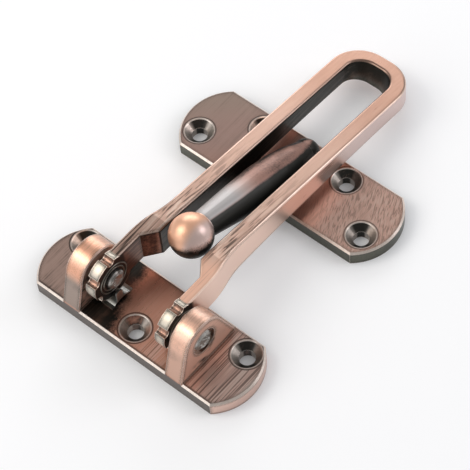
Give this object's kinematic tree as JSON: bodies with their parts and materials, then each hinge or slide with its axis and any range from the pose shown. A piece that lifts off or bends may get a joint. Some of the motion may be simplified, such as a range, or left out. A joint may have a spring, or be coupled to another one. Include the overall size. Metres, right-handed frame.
{
  "type": "swing bar door guard",
  "caption": "Swing bar door guard: a hinged slotted bar on a base plate with ears folds over a ball on a horn-shaped post of a separate keeper plate.",
  "frame": {"origin": "middle of the back face of the hinge base plate, which screws to the door frame", "axes": "+X along both plates and the pivot, +Y from the hinge base towards the closed tip of the bar, +Z away from the door"},
  "size_m": [0.0848, 0.1341, 0.0303],
  "materials": {
    "copper_casting": "antique red copper plating, brushed on the raised faces and dark in the recesses",
    "rivet_steel": "dull steel with peened heads",
    "spring_steel": "bright spring steel strip"
  },
  "bodies": {
    "base": {"hinge_base": "copper_casting", "pivot_rivet_left": "rivet_steel", "pivot_rivet_right": "rivet_steel", "detent_spring_left": "spring_steel", "detent_spring_right": "spring_steel", "keeper": "copper_casting"},
    "bar": {"swing_bar": "copper_casting"}
  },
  "joints": [
    {"name": "bar_swing", "type": "hinge", "parent": "base", "child": "bar", "pos_m": [0, -0.0013, 0.016], "axis": [1, 0, 0], "range_deg": [0, 180]}
  ]
}
